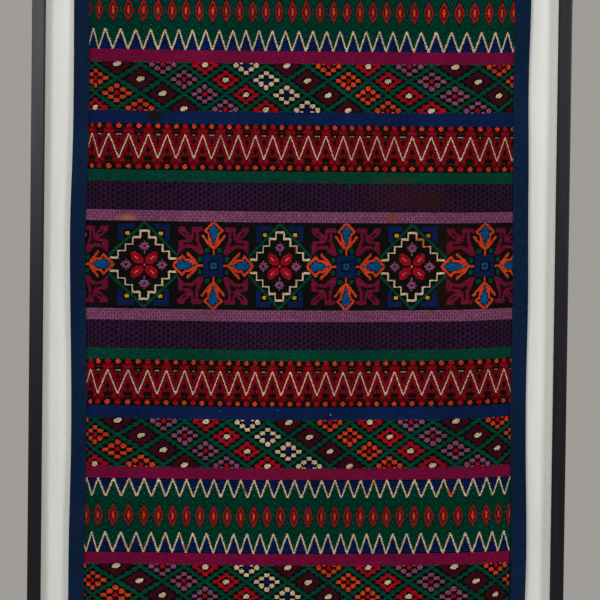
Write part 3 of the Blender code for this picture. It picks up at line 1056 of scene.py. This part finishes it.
def paint_stars(chart):
    """Stepped diamonds and tulip crosses by turns."""
    y = chart.down - chart.height / 2
    paint_cross(chart, wrapped(chart.across - CROSS_AT, STARS_REPEAT), y)
    paint_diamond(chart, wrapped(chart.across - DIAMOND_AT, STARS_REPEAT), y)
    chart.tie()


def dotted_painter(yarn, dot):
    """A painter of a plain band with bare dots, staggered from pair to pair of rows.

    A dot is so many warp ends wide in its lower row, and a wide one has one bare end above that.
    """

    def paint(chart):
        chart.paint(chart.down > 0, yarn)
        step = chart.band.longest
        rows = np.arange(chart.rows)
        offsets = rows // 2 % 2 * (step // 2)
        columns = np.arange(chart.across.shape[1])
        phase = (columns[None, :] + offsets[:, None]) % step
        chart.paint((phase < dot) & (rows % 2 == 1)[:, None], None)
        if dot > 1:
            chart.paint((phase == dot // 2) & (rows % 2 == 0)[:, None], None)
        chart.cut(step, offsets + step // 2)

    return paint


def plain_painter(yarn):
    """A painter of a plain band, its floats tied down unevenly."""

    def paint(chart):
        chart.paint(chart.down > 0, yarn)
        chart.tie(PLAIN_TIE_CLIMB)

    return paint


PAINTERS = {
    "stars": paint_stars,
    "mauve": dotted_painter("mauve", 1),
    "plum": dotted_painter("plum", 3),
    "green": plain_painter("green"),
    "zigzag": paint_zigzag,
    "blue": plain_painter("blue"),
    "lozenges": paint_lozenges,
    "magenta": plain_painter("magenta"),
    "points": paint_points,
}

# How far some bands' patterns stand to the right of where they usually are, at places across
SHIFT_PLACES = (-200, -100, 0, 100, 200)
NO_SHIFT = (0, 0, 0, 0, 0)
PATTERN_SHIFTS = {
    "stars": (0.2, 0.2, 0.0, 0.3, 2.0),
    "zigzag_high_1": (2.0, 0.5, 0.0, 0.0, 0.9),
    "zigzag_low_1": (2.8, 2.6, 2.6, 3.4, 3.6),
    "lozenges_low_2": (3.6, 5.6, 5.7, 5.0, 5.2),
    "lozenges_low_1": (4.5, 4.6, 5.0, 5.0, 5.0),
    "lozenges_high_1": (1.3, 0.0, -1.1, -1.3, 1.2),
    "points_high_1": (-4.0, -6.0, -7.7, -6.4, -4.0),
}


def band_places():
    """Name, kind, top and bottom of each band, from the cloth's middle outwards."""
    half = BANDS["stars"].height / 2 * MM
    places = [("stars", "stars", half, -half)]
    for side, sign in (("high", 1), ("low", -1)):
        near = half
        counts = {}
        for kind in FROM_MIDDLE:
            counts[kind] = counts.get(kind, 0) + 1
            name = f"{kind}_{side}_{counts[kind]}"
            far = near + OWN_HEIGHTS.get(name, BANDS[kind].height) * MM
            top, bottom = (far, near) if sign > 0 else (-near, -far)
            places.append((name, kind, top, bottom))
            near = far
    return places


def build_bands(yarn_looks):
    """The raised yarns, one piece for each band."""
    made = []
    for number, (name, kind, top, _) in enumerate(band_places()):
        rng = np.random.default_rng(SEED + number)
        chart = Chart(name, kind)
        PAINTERS[kind](chart)
        made.append(weave("yarns_" + name, chart.floats(top, rng), yarn_looks))
    return made


# The ground cloth

GROUND_STEP = 0.009
GROUND_COLUMNS = 57
GROUND_SHEET = 0.0010


def ground_levels():
    """Heights of the ground's rows, with one on each band's edge, and the kind of band above each."""
    edge = CLOTH_HEIGHT / 2 - PANEL_INSET
    kinds = {round(bottom, 6): kind for _, kind, _, bottom in band_places()}
    top = max(round(top, 6) for _, _, top, _ in band_places())
    cuts = [-edge, *sorted(kinds), top, edge]
    levels, row_kinds = [-edge], []
    for low, high in zip(cuts, cuts[1:]):
        rows = max(1, round((high - low) / GROUND_STEP))
        levels += [low + (high - low) * (i + 1) / rows for i in range(rows)]
        row_kinds += [kinds.get(round(low, 6), "stars")] * rows
    return np.array(levels), row_kinds


def build_ground():
    """The woven ground, a thin sheet with both its faces, banded like the yarns on it."""
    levels, row_kinds = ground_levels()
    columns = GROUND_COLUMNS
    edge = CLOTH_HEIGHT / 2 - PANEL_INSET
    share = np.linspace(0, 1, columns)
    left = edge_value(levels, "left") + PANEL_INSET
    right = edge_value(levels, "right") - PANEL_INSET
    x = left[:, None] + (right - left)[:, None] * share
    up = levels[:, None] + line_lift(x, levels[:, None]) + levels[:, None] / edge * end_wave(x)
    front = at_height(x, up, GROUND_DEPTH).reshape(-1, 3)
    back = at_height(x, up, GROUND_DEPTH - GROUND_SHEET).reshape(-1, 3)
    rows = len(levels)
    faces = grid_faces(rows, columns)
    count = rows * columns
    rims = []
    ring = np.arange(count).reshape(rows, columns)
    for line, turned in ((ring[0], True), (ring[-1], False), (ring[:, 0], False), (ring[:, -1], True)):
        near, far = line[:-1], line[1:]
        quad = np.stack((near, far, far + count, near + count), axis=1)
        rims.append(quad[:, ::-1] if turned else quad)
    all_faces = np.concatenate([faces, faces[:, ::-1] + count] + rims)
    kinds = sorted(GROUND_COLOURS)
    row_codes = np.array([kinds.index(kind) for kind in row_kinds]).repeat(columns - 1)
    rim_codes = np.full(sum(len(rim) for rim in rims), kinds.index("stars"))
    codes = np.concatenate([row_codes, row_codes, rim_codes])
    looks = [ground_look(kind) for kind in kinds]
    return mesh_of("ground_cloth", np.concatenate([front, back]), all_faces, looks, codes)


# The binding: a tape folded over each edge, sewn down near its inner edge

TAPE_STEPS = 240
TAPE_END_STEPS = 120
TAPE_FOLD_STEPS = 10
TAPE_FACE_STEPS = 6
TAPE_SHARP_ANGLE = math.radians(50)
PUCKER = 0.00011
PUCKER_START = 0.009
SLOW_PUCKER_LENGTH = 0.037
SLOW_PUCKER_SHARE = 0.8
STITCH_PITCH = 0.0052
STITCH_LENGTH = 0.0026
STITCH_INSET = 0.0014
STITCH_WIDTH = 0.0007
STITCH_RISE = 0.0003
STITCH_JITTER = 0.0004
STITCH_SHOULDER = 0.56
STITCH_SEED = SEED + 100


def tape_chain(radius, depth_offset):
    """One face of the folded tape, from its back hem over the fold to its front hem."""
    fold = CLOTH_THICKNESS / 2
    points = [
        (BINDING_BACK + (fold - BINDING_BACK) * i / 3, depth_offset) for i in range(3)
    ]
    for i in range(TAPE_FOLD_STEPS + 1):
        angle = math.radians(270 - 180 * i / TAPE_FOLD_STEPS)
        points.append((fold + radius * math.cos(angle), fold + radius * math.sin(angle)))
    front = CLOTH_THICKNESS - depth_offset
    points += [
        (fold + (BINDING_FRONT - fold) * (i + 1) / TAPE_FACE_STEPS, front)
        for i in range(TAPE_FACE_STEPS)
    ]
    return points


def tape_section():
    """Outline of the folded tape as (inset from its fold, depth in front of its back)."""
    fold = CLOTH_THICKNESS / 2
    return np.array(tape_chain(fold, 0) + tape_chain(fold - PLY, PLY)[::-1])


def pucker(inset, run, phase):
    """How far the tape is drawn in between stitches, near its front hem."""
    near_hem = np.clip((inset - PUCKER_START) / (BINDING_FRONT - PUCKER_START), 0, 1)
    ripple = np.sin(math.pi * run / STITCH_PITCH + phase)
    slow = np.sin(2 * math.pi * run / SLOW_PUCKER_LENGTH + 2 * phase)
    return PUCKER * near_hem * (ripple + SLOW_PUCKER_SHARE * slow)


def side_place(side, share, inset):
    """Place of a side binding's point, mitred at both ends."""
    up = (2 * share - 1) * (CLOTH_HEIGHT / 2 - inset - GAP)
    if side == "left":
        return edge_value(up, "left") + inset, up
    return edge_value(up, "right") - inset, up


def end_place(side, share, inset):
    """Place of a top or bottom binding's point, mitred at both ends."""
    end = 1 if side == "top" else -1
    level = end * (CLOTH_HEIGHT / 2 - inset)
    low = edge_value(level, "left") + inset + GAP
    high = edge_value(level, "right") - inset - GAP
    x = low + (high - low) * share
    return x, level + end * end_wave(x)


def build_tape(side, look, phase):
    """One strip of tape folded over an edge of the cloth."""
    upright = side in ("left", "right")
    at, steps = (side_place, TAPE_STEPS) if upright else (end_place, TAPE_END_STEPS)
    section = tape_section()
    share = np.linspace(0, 1, steps + 1)[:, None]
    inset, depth = section.T[:, None, :]
    x, up = at(side, share, inset)
    in_front = depth > CLOTH_THICKNESS / 2
    lift = np.where(in_front, pucker(inset, up if upright else x, phase), 0)
    points = at_height(x, up, depth + lift).reshape(-1, 3)
    count = len(section)
    ring = np.arange((steps + 1) * count).reshape(steps + 1, count)
    here, there = ring[:-1], ring[1:]
    corners = (here, np.roll(here, -1, axis=1), np.roll(there, -1, axis=1), there)
    quads = np.stack(corners, axis=-1).reshape(-1, 4)
    caps = []
    for row, turned in ((ring[0], True), (ring[-1], False)):
        near, far = row[: count // 2], row[::-1][: count // 2]
        cap = np.stack((near[:-1], near[1:], far[1:], far[:-1]), axis=1)
        caps.append(cap[:, ::-1] if turned else cap)
    faces = np.concatenate([quads] + caps)
    if side in ("left", "bottom"):
        faces = faces[:, ::-1]
    tape = mesh_of("tape_" + side, points, faces, [look])
    tape.data.set_sharp_from_angle(angle=TAPE_SHARP_ANGLE)
    return tape


def build_stitches(side, look, rng):
    """Sewing thread that shows as short dashes along the tape's inner hem."""
    upright = side in ("left", "right")
    at = side_place if upright else end_place
    length = CLOTH_HEIGHT if upright else 2 * CLOTH_HALF_WIDTH
    inset = BINDING_FRONT - STITCH_INSET
    count = int((length - 2 * BINDING_FRONT) / STITCH_PITCH)
    shares = (np.arange(count) + 0.5) / count
    shares += rng.normal(0, STITCH_JITTER / length, count)
    half = STITCH_LENGTH / 2 / length
    points = []
    for point in FLOAT_POINTS:
        inward = point.inward * STITCH_SHOULDER * half
        share = shares + half - inward if point.end else shares - half + inward
        depth = CLOTH_THICKNESS + point.rise * STITCH_RISE - FLOAT_FOOT
        x, up = at(side, share, inset + point.across * STITCH_WIDTH)
        points.append(at_height(x, up, depth))
    points = np.stack(points, axis=1).reshape(-1, 3)
    faces = float_faces(count)
    if side in ("left", "top"):
        faces = faces[:, ::-1]
    return mesh_of("stitches_" + side, points, faces, [look])


def thread_look():
    """Navy sewing thread."""
    look, tree, shader, coords = start_look("sewing_thread", 0.8, sheen=0.02, specular=0.05)
    island = node(tree, "NewGeometry").outputs["Random Per Island"]
    fibres = spread(tree, noise(tree, coords, 900), 0.8, 1.2)
    value = product(tree, spread(tree, island, 0.7, 1.3), fibres)
    colour = shade(tree, linear(THREAD_COLOUR), value)
    twist = noise(tree, coords, 2400)
    return finish_look(look, shader, colour, twist, strength=0.2, distance=0.0001)


def build_floor():
    """A round pale floor just below the frame."""
    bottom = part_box("rail_bottom")[0][2]
    bpy.ops.mesh.primitive_cylinder_add(
        vertices=FLOOR_SIDES,
        radius=FLOOR_RADIUS,
        depth=FLOOR_THICKNESS,
        location=(0, 0, bottom - FLOOR_THICKNESS / 2 - FLOOR_GAP),
    )
    floor = bpy.context.active_object
    floor.name = "floor"
    floor.data.materials.append(floor_look())


def dress_frame():
    """Better finishes on the frame, its spacers and the board."""
    upright = moulding_look("moulding_upright", (1, 1, 0.03))
    level = moulding_look("moulding_level", (0.03, 1, 1))
    spacers = spacer_look()
    looks = {"mount_board": board_look()}
    for side in ("top", "right", "bottom", "left"):
        looks["rail_" + side] = upright if side in ("left", "right") else level
        looks["spacer_" + side] = spacers
    for name, look in looks.items():
        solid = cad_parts[name]
        if not solid.material_slots:
            solid.data.materials.append(None)
        for material_slot in solid.material_slots:
            material_slot.material = look


def add_piece(piece):
    """Let a piece ride on the object's one body."""
    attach(piece, "root")


def build():
    """Everything that shows."""
    add_camera()
    add_lights()
    build_floor()
    dress_frame()
    yarn_looks = {YARN_CODES[yarn.name]: yarn_look(yarn) for yarn in YARNS}
    ground = build_ground()
    add_piece(ground)
    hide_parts("woven_panel")
    yarns = build_bands(yarn_looks)
    for piece in yarns:
        add_piece(piece)
    tape = tape_look()
    thread = thread_look()
    for number, side in enumerate(("left", "right", "top", "bottom")):
        strip = build_tape(side, tape, number)
        stitches = build_stitches(side, thread, np.random.default_rng(STITCH_SEED + number))
        add_piece(strip)
        add_piece(stitches)
        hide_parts("binding_" + side)


build()
